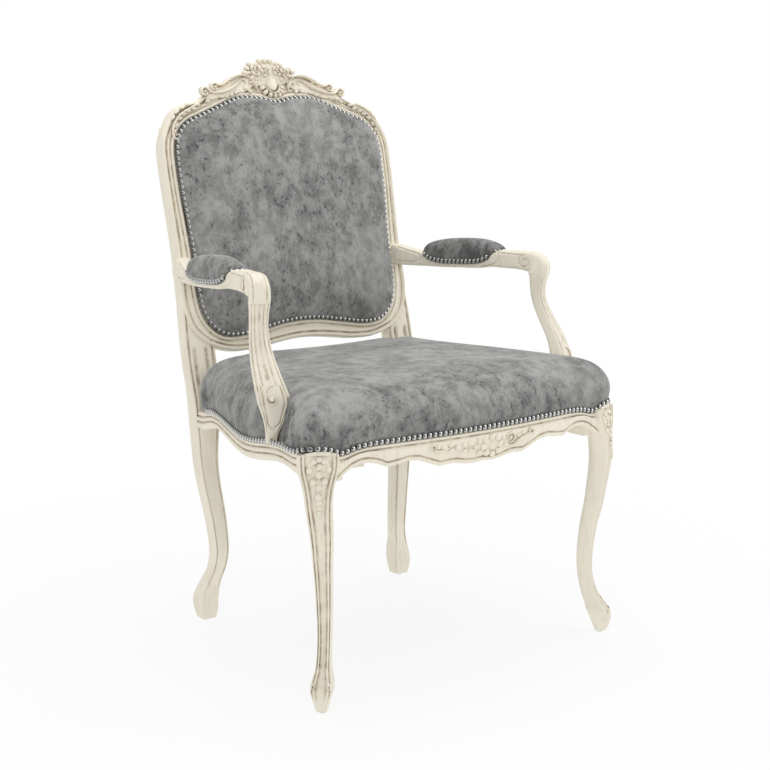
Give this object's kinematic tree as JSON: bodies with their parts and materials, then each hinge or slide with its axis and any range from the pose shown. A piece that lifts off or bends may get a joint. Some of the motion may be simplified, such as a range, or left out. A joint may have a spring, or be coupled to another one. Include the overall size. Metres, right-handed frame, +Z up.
{
  "type": "armchair",
  "caption": "Open-arm chair with a carved painted wood frame, a flat upholstered back panel, padded arms and a crowned seat on cabriole legs.",
  "frame": {"origin": "on the floor under the middle of the overall width and depth", "axes": "+Z up, the chair faces -Y, its own left side is +X"},
  "size_m": [0.681, 0.6614, 1.0295],
  "materials": {
    "painted_wood": "cream paint with a thin brown glaze in the grooves, satin",
    "bare_wood": "planed, unpainted",
    "velvet": "grey crushed velvet",
    "foam": "cut upholstery foam",
    "webbing": "woven strap",
    "lining": "thin black cloth",
    "steel": "plated screws",
    "nail": "polished domed nail heads",
    "glide": "white nail-on glide"
  },
  "bodies": {
    "root": {"crest_rail": "painted_wood", "back_bottom_rail": "painted_wood", "rear_leg_left": "painted_wood", "rear_leg_right": "painted_wood", "front_leg_left": "painted_wood", "front_leg_right": "painted_wood", "front_seat_rail": "painted_wood", "side_seat_rail_left": "painted_wood", "side_seat_rail_right": "painted_wood", "rear_seat_rail": "bare_wood", "arm_left": "painted_wood", "arm_right": "painted_wood", "arm_post_left": "painted_wood", "arm_post_right": "painted_wood", "front_corner_blocks": "bare_wood", "rear_corner_blocks": "bare_wood", "corner_block_screws": "steel", "crest_dowels": "bare_wood", "back_rail_dowels": "bare_wood", "arm_dowels": "bare_wood", "arm_screws": "steel", "arm_post_dowels": "bare_wood", "seat_straps": "webbing", "seat_foam": "foam", "seat_cover": "velvet", "dust_cover": "lining", "back_straps": "webbing", "back_foam": "foam", "back_cover": "velvet", "outside_back_cover": "velvet", "arm_pad_foam_left": "foam", "arm_pad_foam_right": "foam", "arm_pad_cover_left": "velvet", "arm_pad_cover_right": "velvet", "foot_glides": "glide"}
  },
  "joints": []
}
